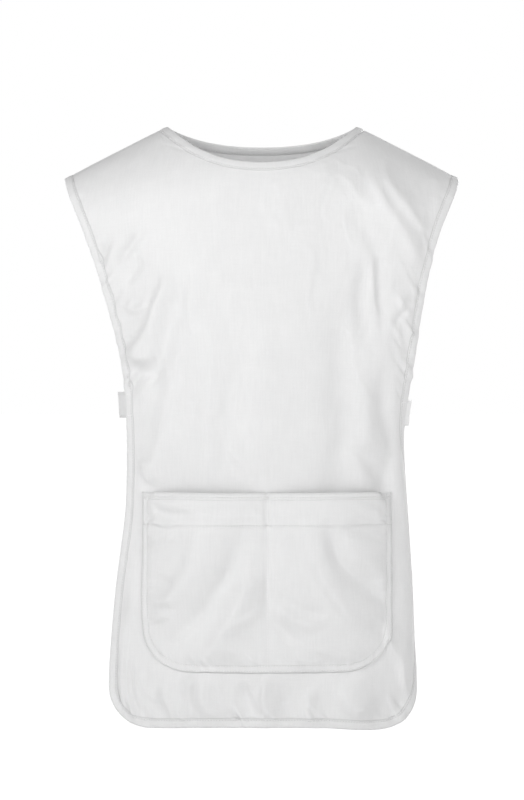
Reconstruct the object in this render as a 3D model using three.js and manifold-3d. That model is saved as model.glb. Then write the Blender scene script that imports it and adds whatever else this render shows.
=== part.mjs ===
// Cobbler apron: a sleeveless pullover work apron with a front and a back panel, bound edges,
// a patch pocket in two compartments and a closing tab with a press stud at each side.
// Millimetres, +Z up, -Y is the wearer's front, +X is to the right of someone who looks at the
// front. The origin lies midway between the shoulders, level with the neck ends of both seams.

import * as THREE from "three";
import { mergeVertices } from "three/addons/utils/BufferGeometryUtils.js";
import Module from "manifold-3d";

// Driving dimensions: the whole apron
const length = 735;
const shoulder_half = 245;
const shoulder_fall = 27;
const shoulder_turn = 100;
const chest_depth = 128;
const back_depth = 104;
const neck_half = 118;
const neck_drop_front = 52;
const neck_drop_back = 20;
const neck_power = 2.5;
const hem_radius = 52;
const hem_dip_left = 6;
const hem_dip_right = 11;
const roll_length = 34;

// Driving dimensions: cloth, bindings and clearances
const cloth = 1.2;
const binding_width = 10;
const binding_cloth = 0.7;
const clearance = 0.3;
const facet_room = 0.45;

// Driving dimensions: pocket
const pocket_width = 302;
const pocket_height = 217;
const pocket_lift = 66;
const pocket_top = length - pocket_lift - pocket_height;
const pocket_offset = 6;
const pocket_radius = 54;
const pocket_hem = 40;
const pocket_hem_extra = 0.6;
const pocket_bag = 13;

// Driving dimensions: side tabs and press studs
const tab_width = 32;
const tab_cloth = 1.6;
const tab_height_left = 346;
const tab_height_right = 356;
const tab_overlap_front = 9;
const tab_overlap_back = 30;
const tab_bulge = 6;
const stud_inset = 18;
const stud_radius = 6.5;
const stud_cap = 1.8;
const stud_post = 2;
const stud_room = 0.6;

// Mesh steps
const neck_steps = 12;
const shoulder_steps = 4;
const turn_rows = 6;
const drop_rows_front = 22;
const drop_rows_back = 15;
const corner_rows = 3;
const roll_steps = 2;
const tab_lanes = 4;
const round_sides = 16;

const UP = new THREE.Vector3(0, 0, 1);
const fall = Math.tan(THREE.MathUtils.degToRad(shoulder_fall));
const ring = binding_width + clearance;

// Cross sections from the shoulders down. fall_to is a share of the length. left and right are
// the half widths, as shares of shoulder_half. middle and edge are depths before the shoulder
// line, as shares of the chest or back depth. roll is the angle in degrees through which the
// right edge turns back on itself.
const front_sections = [
  { fall_to: 0.000, left: 1.000, right: 1.000, middle: 0.58, edge: 0.36, roll: 0 },
  { fall_to: 0.087, left: 1.000, right: 1.000, middle: 0.80, edge: 0.42, roll: 0 },
  { fall_to: 0.195, left: 0.876, right: 0.874, middle: 0.93, edge: 0.48, roll: 0 },
  { fall_to: 0.312, left: 0.765, right: 0.798, middle: 0.99, edge: 0.53, roll: 0 },
  { fall_to: 0.412, left: 0.694, right: 0.753, middle: 1.00, edge: 0.55, roll: 4 },
  { fall_to: 0.497, left: 0.674, right: 0.711, middle: 1.00, edge: 0.55, roll: 28 },
  { fall_to: 0.565, left: 0.672, right: 0.714, middle: 1.00, edge: 0.55, roll: 68 },
  { fall_to: 0.640, left: 0.676, right: 0.729, middle: 1.00, edge: 0.56, roll: 105 },
  { fall_to: 0.765, left: 0.724, right: 0.753, middle: 0.99, edge: 0.56, roll: 115 },
  { fall_to: 0.884, left: 0.755, right: 0.765, middle: 0.98, edge: 0.57, roll: 65 },
  { fall_to: 1.000, left: 0.771, right: 0.780, middle: 0.96, edge: 0.58, roll: 8 },
];
const back_sections = [
  { fall_to: 0.000, left: 1.000, right: 1.000, middle: 0.70, edge: 0.36, roll: 0 },
  { fall_to: 0.087, left: 1.003, right: 1.003, middle: 0.90, edge: 0.42, roll: 0 },
  { fall_to: 0.195, left: 0.888, right: 0.888, middle: 1.00, edge: 0.48, roll: 0 },
  { fall_to: 0.312, left: 0.780, right: 0.800, middle: 1.00, edge: 0.50, roll: 0 },
  { fall_to: 0.412, left: 0.704, right: 0.742, middle: 0.96, edge: 0.49, roll: 0 },
  { fall_to: 0.497, left: 0.680, right: 0.706, middle: 0.92, edge: 0.48, roll: 0 },
  { fall_to: 0.640, left: 0.688, right: 0.712, middle: 0.93, edge: 0.49, roll: 0 },
  { fall_to: 0.765, left: 0.734, right: 0.752, middle: 0.94, edge: 0.50, roll: 0 },
  { fall_to: 1.000, left: 0.783, right: 0.785, middle: 0.97, edge: 0.52, roll: 0 },
];

// Soft folds, each a straight crest or hollow between two points. across is a share of
// shoulder_half and down of the length; wide is a share of shoulder_half, and high, a share of
// fold_high, is positive for a crest.
const fold_high = 7;
const front_folds = [
  { across: -0.50, down: 0.20, to_across: -0.62, to_down: 0.56, wide: 0.090, high: 0.7 },
  { across: -0.14, down: 0.29, to_across: -0.20, to_down: 0.56, wide: 0.080, high: 0.5 },
  { across: -0.32, down: 0.24, to_across: -0.42, to_down: 0.58, wide: 0.075, high: -0.6 },
  { across: 0.55, down: 0.11, to_across: 0.78, to_down: 0.26, wide: 0.080, high: 0.7 },
  { across: 0.66, down: 0.30, to_across: 0.60, to_down: 0.52, wide: 0.090, high: 0.6 },
  { across: 0.42, down: 0.22, to_across: 0.40, to_down: 0.50, wide: 0.100, high: -0.5 },
  { across: -0.40, down: 0.93, to_across: -0.38, to_down: 1.02, wide: 0.090, high: 0.7 },
  { across: 0.02, down: 0.93, to_across: 0.03, to_down: 1.02, wide: 0.085, high: 0.6 },
  { across: 0.44, down: 0.93, to_across: 0.48, to_down: 1.02, wide: 0.090, high: 0.9 },
];
const back_folds = [
  { across: -0.45, down: 0.22, to_across: -0.40, to_down: 1.02, wide: 0.12, high: 0.8 },
  { across: 0.02, down: 0.30, to_across: 0.00, to_down: 1.02, wide: 0.14, high: -0.7 },
  { across: 0.45, down: 0.22, to_across: 0.42, to_down: 1.02, wide: 0.12, high: 0.9 },
];
// Creases of the pocket: across is a share of its half width from its middle, down a share of
// its height, wide a share of its half width and high a share of fold_high.
const pocket_folds = [
  { across: -0.20, down: 0.28, to_across: -0.72, to_down: 0.86, wide: 0.15, high: 0.8 },
  { across: 0.45, down: 0.22, to_across: 0.86, to_down: 0.55, wide: 0.14, high: 0.7 },
  { across: 0.08, down: 0.55, to_across: 0.34, to_down: 0.68, wide: 0.10, high: 0.5 },
];

const front = {
  side: -1, sections: front_sections, depth: chest_depth, neck_drop: neck_drop_front,
  folds: front_folds, drop_rows: drop_rows_front, close_steps: roll_steps,
};
const back = {
  side: 1, sections: back_sections, depth: back_depth, neck_drop: neck_drop_back,
  folds: back_folds, drop_rows: drop_rows_back, close_steps: 0,
};

// One column of a table at a place along it, on a smooth curve through its rows.
function sample(table, column, at) {
  const last = table.length - 1;
  let row = 0;
  while (row < last - 1 && at > table[row + 1].fall_to) row += 1;
  const start = table[row];
  const end = table[row + 1];
  const before = table[Math.max(row - 1, 0)];
  const after = table[Math.min(row + 2, last)];
  const span = end.fall_to - start.fall_to;
  const share = THREE.MathUtils.clamp((at - start.fall_to) / span, 0, 1);
  const rise_start = (end[column] - before[column]) / (end.fall_to - before.fall_to) * span;
  const rise_end = (after[column] - start[column]) / (after.fall_to - start.fall_to) * span;
  const square = share * share;
  const cube = square * share;
  return start[column] * (2 * cube - 3 * square + 1) + end[column] * (3 * square - 2 * cube)
    + rise_start * (cube - 2 * square + share) + rise_end * (cube - square);
}

// Height of a crest or hollow at a point of the cloth, from a table of folds.
function fold_height(folds, across, down) {
  let total = 0;
  for (const fold of folds) {
    const run = new THREE.Vector2(fold.to_across - fold.across, fold.to_down - fold.down);
    const here = new THREE.Vector2(across - fold.across, down - fold.down);
    const along = THREE.MathUtils.clamp(here.dot(run) / run.lengthSq(), 0, 1);
    const off = here.sub(run.multiplyScalar(along)).length() / fold.wide;
    const taper = Math.sin(Math.PI * THREE.MathUtils.lerp(0.12, 0.88, along));
    total += fold.high * fold_high * Math.exp(-off * off) * taper;
  }
  return total;
}

// Height of the shoulder line, carried on over the neck in a low arch.
function shoulder_line(x) {
  const reach = Math.abs(x);
  if (reach > neck_half) return fall * (neck_half - reach);
  return fall * (neck_half ** 2 - reach ** 2) / (2 * neck_half);
}

// One half of a cross section at a height: where its edge stretch starts to turn, the slope and
// the bend there, and the cloth's half width from the middle to the edge.
function half_section(panel, sign, z) {
  const at = -z / length;
  const wide = sample(panel.sections, sign < 0 ? "left" : "right", at) * shoulder_half;
  const middle = sample(panel.sections, "middle", at) * panel.depth;
  const edge = sample(panel.sections, "edge", at) * panel.depth;
  const roll = sign < 0 ? 0 : Math.max(sample(panel.sections, "roll", at), 0);
  const bend = Math.max(THREE.MathUtils.degToRad(roll), 0.01);
  const radius = roll_length / bend;
  let start = wide - roll_length;
  let slope = 0;
  for (let pass = 0; pass < 4; pass += 1) {
    slope = Math.atan(2 * (middle - edge) * start / (wide * wide));
    const widest = Math.min(slope + bend, Math.PI / 2);
    start = wide - radius * (Math.sin(widest) - Math.sin(slope));
  }
  return { wide, middle, edge, radius, start, slope, half: start + roll_length };
}

// A point of a panel's middle surface: s is the distance across the cloth from its middle.
function skin(panel, s, z) {
  const sign = s < 0 ? -1 : 1;
  const part = half_section(panel, sign, z);
  const reach = Math.abs(s);
  const flat = Math.min(reach, part.start);
  let x = flat;
  let depth = part.edge + (part.middle - part.edge) * (1 - (flat / part.wide) ** 2);
  if (reach > part.start) {
    const turn = part.slope + (reach - part.start) / part.radius;
    x += part.radius * (Math.sin(turn) - Math.sin(part.slope));
    depth -= part.radius * (Math.cos(part.slope) - Math.cos(turn));
  }
  depth += fold_height(panel.folds, s / shoulder_half, -z / length);
  const drop = THREE.MathUtils.clamp((shoulder_line(x) - z) / shoulder_turn, 0, 1);
  depth *= Math.sqrt(1 - (1 - drop) ** 2);
  return new THREE.Vector3(sign * x, panel.side * (depth + clearance / 2), z);
}

// The lower edge: it dips a little towards both sides.
function hem_line(s) {
  const dip = s < 0 ? hem_dip_left : hem_dip_right;
  return -length - dip * (s / shoulder_half) ** 2;
}

// A place near an edge, one ring width in from the edge over the cloth. place gives the flat
// point for a distance in from the edge.
function ring_point(panel, place) {
  const edge = skin(panel, ...place(0));
  let inset = ring;
  for (let pass = 0; pass < 6; pass += 1) {
    inset *= ring / skin(panel, ...place(inset)).distanceTo(edge);
  }
  return place(inset);
}

// A point on the side of a panel, between the shoulder seam (0) and the middle of the rounded
// corner (1), moved inwards over the cloth.
function side_point(panel, sign, share, inset) {
  const low = hem_line(sign * shoulder_half * 0.7) + hem_radius;
  const seam_x = shoulder_half - inset * Math.cos(THREE.MathUtils.degToRad(shoulder_fall));
  const seam_z = shoulder_line(seam_x);
  const arc = hem_radius * Math.PI / 4;
  const run = seam_z - low + arc;
  const straight = 1 - arc / run;
  if (share <= straight) {
    const z = THREE.MathUtils.lerp(seam_z, low, share / straight);
    const along_seam = Math.max(1 - (seam_z - z) / ring, 0) * (seam_x - shoulder_half + inset);
    return [sign * (half_section(panel, sign, z).half - inset + along_seam), z];
  }
  return corner_point(panel, sign, (share - straight) / (1 - straight) * Math.PI / 4, inset);
}

// A point on the rounded corner: the angle is 0 at the side and a right angle at the hem.
function corner_point(panel, sign, angle, inset) {
  const radius = hem_radius - inset;
  const low = hem_line(sign * shoulder_half * 0.7) + hem_radius;
  const z = low - radius * Math.sin(angle);
  const half = half_section(panel, sign, z).half;
  return [sign * (half - hem_radius + radius * Math.cos(angle)), z];
}

// A point on the lower edge, between the middles of both rounded corners.
function hem_point(panel, share, inset) {
  const arc = hem_radius * Math.PI / 4;
  const left = half_section(panel, -1, -length).half - hem_radius;
  const right = half_section(panel, 1, -length).half - hem_radius;
  const run = left + right + 2 * arc;
  const at = share * run;
  if (at < arc) return corner_point(panel, -1, Math.PI / 4 * (1 + at / arc), inset);
  if (run - at < arc) return corner_point(panel, 1, Math.PI / 4 * (1 + (run - at) / arc), inset);
  const s = at - arc - left;
  const tuck = Math.max(Math.abs(s) / Math.max(left, right) - 0.6, 0) / 0.4;
  const level = hem_line(Math.sign(s) * shoulder_half * 0.7);
  return [s, THREE.MathUtils.lerp(hem_line(s), level, tuck) + inset];
}

// A point of the neck edge: the turn runs from -90 degrees at the left seam to 90 at the right.
function neck_point(panel, turn, inset) {
  const half = neck_half + inset * Math.cos(THREE.MathUtils.degToRad(shoulder_fall));
  const seam_z = shoulder_line(half);
  const deep = panel.neck_drop + inset + seam_z;
  const share = Math.sin(turn);
  return [half * share, seam_z - deep * (1 - Math.abs(share) ** neck_power)];
}

// Shares of the way across for the columns of a panel, with closer ones where its right edge
// turns back.
function column_shares(panel) {
  const main = neck_steps + 2 * shoulder_steps;
  const close = panel.close_steps * roll_length / (4 * shoulder_half * (panel.close_steps + 1)) * 2;
  const shares = [];
  for (let i = 0; i <= main; i += 1) shares.push((1 - close) * i / main);
  for (let i = 1; i <= panel.close_steps; i += 1) shares.push(1 - close + close * i / panel.close_steps);
  return shares;
}

// The upper side of a panel, column by column: shoulder, neck, shoulder.
function top_point(panel, shares, column) {
  const neck_column = column - shoulder_steps;
  if (neck_column >= 0 && neck_column <= neck_steps) {
    const turn = (neck_column / neck_steps - 0.5) * Math.PI;
    return ring_point(panel, (inset) => neck_point(panel, turn, inset));
  }
  const sign = neck_column < 0 ? -1 : 1;
  const neck_share = shares[shoulder_steps + (neck_column < 0 ? 0 : neck_steps)];
  const from_tip = neck_column < 0 ? shares[column] / neck_share
    : (1 - shares[column]) / (1 - neck_share);
  const [tip] = ring_point(panel, (inset) => side_point(panel, 1, 0, inset));
  const [neck] = ring_point(panel, (inset) => neck_point(panel, Math.PI / 2, inset));
  const x = THREE.MathUtils.lerp(Math.abs(tip), neck, from_tip);
  return [sign * x, shoulder_line(x)];
}

// Shares of the way down for the rows of a panel: close together where the cloth turns over the
// shoulder, then even, then round the corner.
function row_shares(panel) {
  const turn_share = shoulder_turn / length;
  const corner_share = hem_radius * Math.PI / 4 / length;
  const shares = [];
  for (let row = 0; row < turn_rows; row += 1) shares.push(turn_share * (row / turn_rows) ** 2);
  for (let row = 0; row < panel.drop_rows; row += 1) {
    shares.push(THREE.MathUtils.lerp(turn_share, 1 - corner_share, row / panel.drop_rows));
  }
  for (let row = 0; row <= corner_rows; row += 1) {
    shares.push(THREE.MathUtils.lerp(1 - corner_share, 1, row / corner_rows));
  }
  return shares;
}

// A grid of flat points stretched between four edge curves, at shares of the way down and over.
function fill_grid(top, bottom, left, right, downs, overs) {
  const last = overs.length - 1;
  return downs.map((down, row) => overs.map((over, column) => {
    return [0, 1].map((axis) => {
      const upright = (1 - down) * top[column][axis] + down * bottom[column][axis];
      const level = (1 - over) * left[row][axis] + over * right[row][axis];
      const upper = (1 - over) * top[0][axis] + over * top[last][axis];
      const lower = (1 - over) * bottom[0][axis] + over * bottom[last][axis];
      return upright + level - (1 - down) * upper - down * lower;
    });
  }));
}

// Turns a middle surface of quads into a closed wall. outer and inner are distances along the
// normals, one for each point.
function thicken(points, normals, quads, outer, inner) {
  const count = points.length;
  const positions = [];
  points.forEach((point, i) => positions.push(...point.clone().addScaledVector(normals[i], outer[i])));
  points.forEach((point, i) => positions.push(...point.clone().addScaledVector(normals[i], -inner[i])));
  const triangles = [];
  const edges = new Set();
  for (const [a, b, c, d] of quads) {
    triangles.push(a, b, c, a, c, d);
    triangles.push(count + a, count + c, count + b, count + a, count + d, count + c);
    for (const [from, to] of [[a, b], [b, c], [c, d], [d, a]]) edges.add(`${from} ${to}`);
  }
  for (const edge of edges) {
    const [from, to] = edge.split(" ").map(Number);
    if (edges.has(`${to} ${from}`)) continue;
    triangles.push(from, count + from, count + to, from, count + to, to);
  }
  return closed_geometry(positions, triangles);
}

// A geometry from positions and triangles, with its faces turned outwards.
function closed_geometry(positions, triangles) {
  let volume = 0;
  for (let i = 0; i < triangles.length; i += 3) {
    const [a, b, c] = [0, 1, 2].map((k) => new THREE.Vector3().fromArray(positions, 3 * triangles[i + k]));
    volume += a.dot(b.cross(c));
  }
  if (volume < 0) {
    for (let i = 0; i < triangles.length; i += 3) {
      [triangles[i + 1], triangles[i + 2]] = [triangles[i + 2], triangles[i + 1]];
    }
  }
  const geometry = new THREE.BufferGeometry();
  geometry.setAttribute("position", new THREE.Float32BufferAttribute(positions, 3));
  geometry.setIndex(triangles);
  return geometry;
}

// Normals of the points of a quad mesh, averaged over its faces.
function point_normals(points, quads) {
  const normals = points.map(() => new THREE.Vector3());
  for (const [a, b, c, d] of quads) {
    const across = points[c].clone().sub(points[a]);
    const normal = across.cross(points[d].clone().sub(points[b]));
    for (const i of [a, b, c, d]) normals[i].add(normal);
  }
  return normals.map((normal) => normal.normalize());
}

// One panel: its points, normals and quads, and the stations of its bound edges. A station
// holds the edge point, the way in over the cloth and the cloth's outward normal.
function build_panel(panel) {
  const downs = row_shares(panel);
  const overs = column_shares(panel);
  const rows = downs.length - 1;
  const columns = overs.length - 1;
  const in_from = (place) => ring_point(panel, place);
  const top = overs.map((_, column) => top_point(panel, overs, column));
  const bottom = overs.map((over) => in_from((inset) => hem_point(panel, over, inset)));
  const [left, right] = [-1, 1].map((sign) => downs.map(
    (down) => in_from((inset) => side_point(panel, sign, down, inset)),
  ));
  const flat = fill_grid(top, bottom, left, right, downs, overs).flat();
  const points = flat.map(([s, z]) => skin(panel, s, z));
  const grid = (row, column) => row * (columns + 1) + column;
  const turned = (quad) => (panel.side < 0 ? quad : [quad[0], quad[3], quad[2], quad[1]]);
  const quads = [];
  for (let row = 0; row < rows; row += 1) {
    for (let column = 0; column < columns; column += 1) {
      quads.push(turned([grid(row, column), grid(row + 1, column), grid(row + 1, column + 1),
        grid(row, column + 1)]));
    }
  }
  const outside = [
    ...downs.map((down, row) => [side_point(panel, -1, down, 0), grid(row, 0)]),
    ...overs.map((over, column) => [hem_point(panel, over, 0), grid(rows, column)]).slice(1, -1),
    ...downs.map((down, row) => [side_point(panel, 1, down, 0), grid(row, columns)]).reverse(),
  ];
  const neck = overs.slice(0, neck_steps + 1).map((_, step) => [
    neck_point(panel, (step / neck_steps - 0.5) * Math.PI, 0), grid(0, shoulder_steps + step),
  ]);
  const edges = [outside, neck].map((edge, which) => {
    const first = points.length;
    edge.forEach(([flat]) => points.push(skin(panel, ...flat)));
    for (let i = 0; i < edge.length - 1; i += 1) {
      const [a, b, c, d] = [first + i, first + i + 1, edge[i + 1][1], edge[i][1]];
      const forward = (which === 0) === (panel.side < 0);
      if (panel.side < 0) quads.push(forward ? [a, b, c, d] : [a, d, c, b]);
      else quads.push(forward ? [b, c, d, a] : [b, a, d, c]);
    }
    return edge.map(([, inner], i) => ({ point: first + i, inner }));
  });
  const normals = point_normals(points, quads);
  const stations = edges.map((edge) => edge.map(({ point, inner }, i) => {
    const here = points[point];
    const before = points[edge[Math.max(i - 1, 0)].point];
    const after = points[edge[Math.min(i + 1, edge.length - 1)].point];
    const inwards = points[inner].clone().sub(here).normalize();
    const along = i === 0 || i === edge.length - 1 ? new THREE.Vector3(0, 1, 0) : after.clone().sub(before);
    const outwards = inwards.clone().cross(along).normalize();
    if (outwards.dot(normals[point]) < 0) outwards.negate();
    normals[point].copy(outwards);
    normals[inner].copy(outwards);
    return { here, inwards, outwards };
  }));
  const [left_seam, right_seam] = [stations[0][0], stations[0].at(-1)].map((end) => end.outwards);
  for (let column = 1; column < shoulder_steps; column += 1) normals[grid(0, column)].copy(left_seam);
  for (let column = shoulder_steps + neck_steps + 1; column < columns; column += 1) {
    normals[grid(0, column)].copy(right_seam);
  }
  return { points, normals, quads, outside: stations[0], neck: stations[1] };
}

// A folded strip that grips an edge all the way round a closed loop of stations.
function binding(stations) {
  const inside = cloth / 2 + clearance;
  const outside = inside + binding_cloth;
  const lip = -clearance - binding_cloth;
  const section = [
    [binding_width, outside], [lip, outside], [lip, -outside], [binding_width, -outside],
    [binding_width, -inside], [-clearance, -inside], [-clearance, inside], [binding_width, inside],
  ];
  const size = section.length;
  const positions = [];
  for (const { here, inwards, outwards } of stations) {
    for (const [over, up] of section) {
      positions.push(...here.clone().addScaledVector(inwards, over).addScaledVector(outwards, up));
    }
  }
  const triangles = [];
  for (let i = 0; i < stations.length; i += 1) {
    const next = (i + 1) % stations.length;
    for (let j = 0; j < size; j += 1) {
      const [a, b, c, d] = [[i, j], [i, j + 1], [next, j + 1], [next, j]].map(([at, k]) => at * size + k % size);
      if (j % 4 === 0) triangles.push(a, b, d, b, c, d);
      else triangles.push(a, b, c, a, c, d);
    }
  }
  return closed_geometry(positions, triangles);
}

// The patch pocket lies on the front panel, held at its sides, foot and middle stitch, and bags
// out between them. Its mouth is open at the top and its turned top hem is thicker.
function build_pocket() {
  const half = pocket_width / 2;
  const steps = 16;
  const hem_share = pocket_hem / pocket_height;
  const downs = [0, hem_share / 2, hem_share, hem_share + 0.01, 0.33, 0.46, 0.58, 0.68, 0.77, 0.85, 0.92, 1];
  const foot = -pocket_top - pocket_height;
  const slant = pocket_radius * Math.SQRT1_2;
  const side = (sign) => downs.map((down) => {
    const arc = pocket_radius * Math.PI / 4;
    const run = pocket_height - pocket_radius + arc;
    const at = down * run;
    const turn = Math.max(at - (run - arc), 0) / arc * Math.PI / 4;
    const z = -pocket_top - Math.min(at, run - arc) - pocket_radius * Math.sin(turn);
    return [pocket_offset + sign * (half - pocket_radius * (1 - Math.cos(turn))), z];
  });
  const top = [...Array(steps + 1).keys()].map((i) => [pocket_offset + half * (2 * i / steps - 1), -pocket_top]);
  const bottom = top.map((_, i) => {
    const reach = (half - pocket_radius + slant) * (2 * i / steps - 1);
    const past = Math.max(Math.abs(reach) - (half - pocket_radius), 0);
    return [pocket_offset + reach, foot + pocket_radius - Math.sqrt(pocket_radius ** 2 - past ** 2)];
  });
  const overs = top.map((_, i) => i / steps);
  const flat = fill_grid(top, bottom, side(-1), side(1), downs, overs);
  const points = [];
  const outer = [];
  flat.forEach((row, r) => row.forEach(([s, z], c) => {
    const here = skin(front, s, z);
    const reach = 2;
    const across = skin(front, s + reach, z).sub(skin(front, s - reach, z));
    const up = skin(front, s, z + reach).sub(skin(front, s, z - reach));
    const outwards = across.cross(up).normalize();
    const in_half = (c % (steps / 2)) / (steps / 2);
    const bag = Math.sin(Math.PI * in_half) ** 0.8 * (1 - downs[r] ** 2);
    const crease = fold_height(pocket_folds, 2 * c / steps - 1, downs[r]);
    const proud = pocket_bag * bag + crease * Math.min(4 * bag, 1);
    const seat = cloth + clearance + facet_room;
    points.push(here.addScaledVector(outwards, seat + Math.max(proud, 0)));
    outer.push(cloth / 2 + (downs[r] <= hem_share ? pocket_hem_extra : 0));
  }));
  const quads = [];
  for (let r = 0; r < downs.length - 1; r += 1) {
    for (let c = 0; c < steps; c += 1) {
      const at = r * (steps + 1) + c;
      quads.push([at, at + steps + 1, at + steps + 2, at + 1]);
    }
  }
  return thicken(points, point_normals(points, quads), quads, outer, outer.map(() => cloth / 2));
}

// A point beside a panel near its side edge: past is the distance beyond the edge, and off the
// distance out from the cloth's middle.
function beside(panel, sign, z, past, off) {
  const half = half_section(panel, sign, z).half + Math.min(past, 0);
  const here = skin(panel, sign * half, z);
  const outward_run = here.clone().sub(skin(panel, sign * (half - clearance), z)).normalize();
  const normal = outward_run.clone().cross(UP).multiplyScalar(sign * panel.side).normalize();
  return here.addScaledVector(outward_run, Math.max(past, 0)).addScaledVector(normal, off);
}

// A side tab: a double strap from under the front panel's edge to the outside of the back
// panel's edge. Returns its middle surface, and the place and axis of its press stud.
function build_tab(sign, height) {
  const off = cloth / 2 + clearance + binding_cloth + clearance + tab_cloth / 2 + facet_room;
  const lanes = [...Array(tab_lanes + 1).keys()].map((lane) => {
    const z = -height + (lane / tab_lanes - 0.5) * tab_width;
    const start = beside(front, sign, z, 4, off);
    const end = beside(back, sign, z, 4, -off);
    const middle = start.clone().lerp(end, 0.5);
    middle.x = sign * (Math.max(Math.abs(start.x), Math.abs(end.x)) + tab_bulge);
    return [
      beside(front, sign, z, -tab_overlap_front, off), beside(front, sign, z, 0, off), start,
      start.clone().lerp(middle, 0.55).setX(THREE.MathUtils.lerp(start.x, middle.x, 0.8)), middle,
      end.clone().lerp(middle, 0.55).setX(THREE.MathUtils.lerp(end.x, middle.x, 0.8)),
      end, beside(back, sign, z, 0, -off), beside(back, sign, z, -stud_inset, -off),
      beside(back, sign, z, -tab_overlap_back, -off),
    ];
  });
  const count = lanes[0].length;
  const points = lanes.flat();
  const quads = [];
  for (let lane = 0; lane < lanes.length - 1; lane += 1) {
    for (let i = 0; i < count - 1; i += 1) {
      const at = lane * count + i;
      quads.push([at, at + 1, at + count + 1, at + count]);
    }
  }
  const half = points.map(() => tab_cloth / 2);
  const geometry = thicken(points, point_normals(points, quads), quads, half, half);
  const foot = beside(back, sign, -height, -stud_inset, 0);
  const axis = beside(back, sign, -height, -stud_inset, -off).sub(foot).normalize();
  return { geometry, foot, axis, off };
}

// A press stud: an outer cap, a post through tab and panel, and an inner cap.
function build_stud({ foot, axis, off }) {
  const under = -cloth / 2 - stud_room;
  const over = off + tab_cloth / 2 + stud_room;
  const profile = [
    [0, under - stud_cap], [stud_radius - 1, under - stud_cap], [stud_radius, under - 0.6],
    [stud_radius, under], [stud_post, under], [stud_post, over], [stud_radius, over],
    [stud_radius, over + 0.6], [stud_radius - 1.6, over + stud_cap], [0, over + stud_cap + 0.3],
  ].map(([r, h]) => new THREE.Vector2(r, h));
  const geometry = new THREE.LatheGeometry(profile, round_sides);
  return placed_on_axis(geometry, foot, axis);
}

// The hole that a stud's post needs.
function stud_hole({ foot, axis, off }) {
  const tall = 4 * off;
  const geometry = new THREE.CylinderGeometry(stud_post + clearance, stud_post + clearance, tall, round_sides);
  return placed_on_axis(geometry, foot, axis);
}

function placed_on_axis(geometry, foot, axis) {
  const turn = new THREE.Quaternion().setFromUnitVectors(new THREE.Vector3(0, 1, 0), axis);
  return geometry.applyQuaternion(turn).translate(foot.x, foot.y, foot.z);
}

const library = await Module();
library.setup();

// Drops all but the positions, so that shared vertices can be merged.
function bare(geometry) {
  const copy = geometry.clone();
  copy.deleteAttribute("normal");
  copy.deleteAttribute("uv");
  return mergeVertices(copy, 1e-4);
}

function to_solid(geometry) {
  const merged = bare(geometry);
  const mesh = new library.Mesh({
    numProp: 3,
    vertProperties: new Float32Array(merged.attributes.position.array),
    triVerts: new Uint32Array(merged.index.array),
  });
  return new library.Manifold(mesh);
}

function from_solid(solid) {
  const mesh = solid.getMesh();
  const geometry = new THREE.BufferGeometry();
  geometry.setAttribute("position", new THREE.BufferAttribute(mesh.vertProperties, 3));
  geometry.setIndex(new THREE.BufferAttribute(mesh.triVerts, 1));
  return geometry;
}

function cut(geometry, holes) {
  let solid = to_solid(geometry);
  for (const hole of holes) solid = solid.subtract(to_solid(hole));
  return from_solid(solid);
}

const white_cloth = { color: 0xeef0ef, roughness: 0.85, metalness: 0 };
const white_tape = { color: 0xe9ebea, roughness: 0.8, metalness: 0 };
const white_stud = { color: 0xf2f2f0, roughness: 0.4, metalness: 0 };
const apron = new THREE.Group();

function add_piece(name, geometry, look) {
  const mesh = new THREE.Mesh(bare(geometry), new THREE.MeshStandardMaterial(look));
  mesh.name = name;
  apron.add(mesh);
}

function wall_of(panel) {
  const half = panel.points.map(() => cloth / 2);
  return thicken(panel.points, panel.normals, panel.quads, half, half);
}

const front_panel = build_panel(front);
const back_panel = build_panel(back);
const tab_left = build_tab(-1, tab_height_left);
const tab_right = build_tab(1, tab_height_right);
const holes = [tab_left, tab_right].map(stud_hole);

add_piece("front_panel", wall_of(front_panel), white_cloth);
add_piece("back_panel", cut(wall_of(back_panel), holes), white_cloth);
add_piece("neck_binding", binding([...front_panel.neck, ...back_panel.neck.reverse()]), white_tape);
add_piece("edge_binding", binding([...front_panel.outside, ...back_panel.outside.reverse()]), white_tape);
add_piece("pocket", build_pocket(), white_cloth);
add_piece("side_tab_left", cut(tab_left.geometry, [holes[0]]), white_cloth);
add_piece("side_tab_right", cut(tab_right.geometry, [holes[1]]), white_cloth);
add_piece("press_stud_left", build_stud(tab_left), white_stud);
add_piece("press_stud_right", build_stud(tab_right), white_stud);

export default apron;
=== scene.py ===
"""White cobbler apron, hung as it is worn. Metres, +Z up, -Y is the wearer's front."""

import math
from collections import namedtuple

import bmesh
import bpy
import numpy as np
from mathutils import Euler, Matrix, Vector, noise
from mathutils.bvhtree import BVHTree
from mathutils.kdtree import KDTree


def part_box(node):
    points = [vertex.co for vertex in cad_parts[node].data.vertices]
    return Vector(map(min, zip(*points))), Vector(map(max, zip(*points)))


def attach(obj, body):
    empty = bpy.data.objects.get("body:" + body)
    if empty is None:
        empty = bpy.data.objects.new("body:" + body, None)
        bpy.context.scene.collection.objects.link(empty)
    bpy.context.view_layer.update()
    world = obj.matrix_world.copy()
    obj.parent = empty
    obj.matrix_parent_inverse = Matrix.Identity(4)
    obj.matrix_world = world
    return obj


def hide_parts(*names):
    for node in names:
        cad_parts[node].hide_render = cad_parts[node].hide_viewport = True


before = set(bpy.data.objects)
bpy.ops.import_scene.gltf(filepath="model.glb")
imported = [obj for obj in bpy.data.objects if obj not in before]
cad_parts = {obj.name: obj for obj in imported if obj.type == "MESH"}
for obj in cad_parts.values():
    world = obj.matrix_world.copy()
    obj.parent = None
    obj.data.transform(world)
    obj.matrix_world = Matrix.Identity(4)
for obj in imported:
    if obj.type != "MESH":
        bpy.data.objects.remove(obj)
bpy.ops.object.select_all(action="DESELECT")
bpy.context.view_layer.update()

MM = 0.001
TABS = ("side_tab_left", "side_tab_right")
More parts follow.
